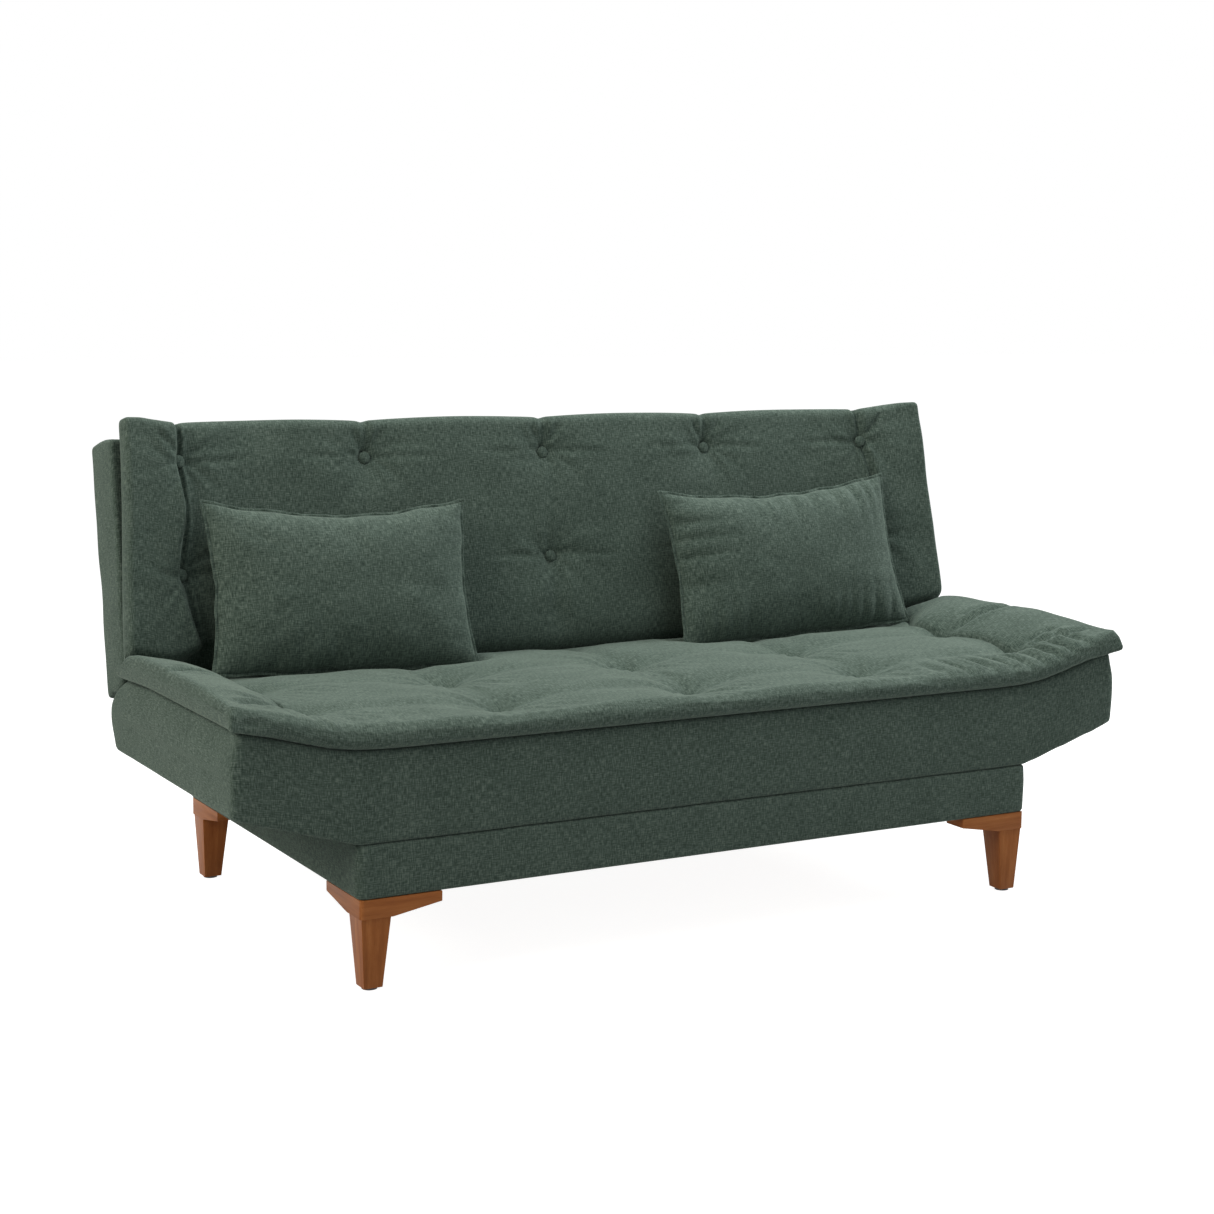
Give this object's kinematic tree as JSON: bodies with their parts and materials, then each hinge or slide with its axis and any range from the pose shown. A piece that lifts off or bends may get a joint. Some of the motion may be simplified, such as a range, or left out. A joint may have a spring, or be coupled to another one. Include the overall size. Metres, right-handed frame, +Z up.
{
  "type": "futon sofa bed",
  "caption": "Click-clack futon sofa bed with a tufted seat and back that fold flat, a lift-up storage base on corner legs, and loose lumbar cushions.",
  "frame": {"origin": "on the floor under the middle of the sofa's bounding box", "axes": "+X to the sitter's left, seen on the right in the picture; +Y to the rear; +Z up"},
  "size_m": [1.806, 0.8686, 0.8893],
  "materials": {
    "green_fabric": "woven melange",
    "walnut_wood": "satin walnut stain",
    "frame_wood": "bare",
    "hardboard": "bare",
    "black_steel": "satin black",
    "zinc_steel": "zinc plated",
    "lining_cloth": "non-woven",
    "foam": "open-cell foam",
    "glide_plastic": "matte"
  },
  "bodies": {
    "base": {"base_front_rail": "frame_wood", "base_rear_rail": "frame_wood", "base_right_rail": "frame_wood", "base_left_rail": "frame_wood", "base_bottom_panel": "hardboard", "base_battens": "frame_wood", "base_cover": "green_fabric", "base_corner_blocks": "frame_wood", "leg_glides": "glide_plastic", "leg_bolts": "zinc_steel", "lift_plate_right": "black_steel", "lift_plate_left": "black_steel", "lift_plate_bolts": "zinc_steel", "lift_pins": "zinc_steel", "leg_post_front_left": "walnut_wood", "leg_bracket_front_left": "walnut_wood", "leg_post_front_right": "walnut_wood", "leg_bracket_front_right": "walnut_wood", "leg_post_rear_left": "walnut_wood", "leg_bracket_rear_left": "walnut_wood", "leg_post_rear_right": "walnut_wood", "leg_bracket_rear_right": "walnut_wood"},
    "seat": {"seat_body": "green_fabric", "seat_pad": "green_fabric", "seat_lining": "lining_cloth", "seat_springs": "zinc_steel", "seat_foam": "foam", "seat_hinge_arm_right": "black_steel", "seat_hinge_arm_left": "black_steel", "seat_arm_bolts": "zinc_steel", "hinge_pins": "zinc_steel", "lift_arm_right": "black_steel", "lift_arm_left": "black_steel", "lift_arm_screws": "zinc_steel", "seat_rear_rail": "frame_wood", "seat_front_rail": "frame_wood", "seat_right_end_rail": "frame_wood", "seat_left_end_rail": "frame_wood", "seat_arm_rails": "frame_wood", "seat_centre_rail": "frame_wood"},
    "back": {"back_body": "green_fabric", "back_pad": "green_fabric", "back_buttons": "green_fabric", "back_lining": "lining_cloth", "back_webbing": "lining_cloth", "back_foam": "foam", "back_hinge_arm_right": "black_steel", "back_hinge_arm_left": "black_steel", "back_arm_bolts": "zinc_steel", "ratchet_drums": "black_steel", "back_lower_rail": "frame_wood", "back_upper_rail": "frame_wood", "back_right_end_rail": "frame_wood", "back_left_end_rail": "frame_wood", "back_arm_rails": "frame_wood", "back_centre_rail": "frame_wood"},
    "cushion_left": {"cushion_left": "green_fabric"},
    "cushion_right": {"cushion_right": "green_fabric"}
  },
  "joints": [
    {"name": "seat_lift", "type": "hinge", "parent": "base", "child": "seat", "pos_m": [0, 0.36869, 0.228], "axis": [-1, 0, 0], "range_deg": [0, 35]},
    {"name": "back_recline", "type": "hinge", "parent": "seat", "child": "back", "pos_m": [0, 0.22469, 0.4003], "axis": [1, 0, 0], "range_deg": [-79.5, 0]},
    {"name": "cushion_left_lift", "type": "slide", "parent": "back", "child": "cushion_left", "axis": [0, 0.1822, 0.9833], "range_m": [0, 0.3]},
    {"name": "cushion_right_lift", "type": "slide", "parent": "back", "child": "cushion_right", "axis": [0, 0.1822, 0.9833], "range_m": [0, 0.3]}
  ]
}
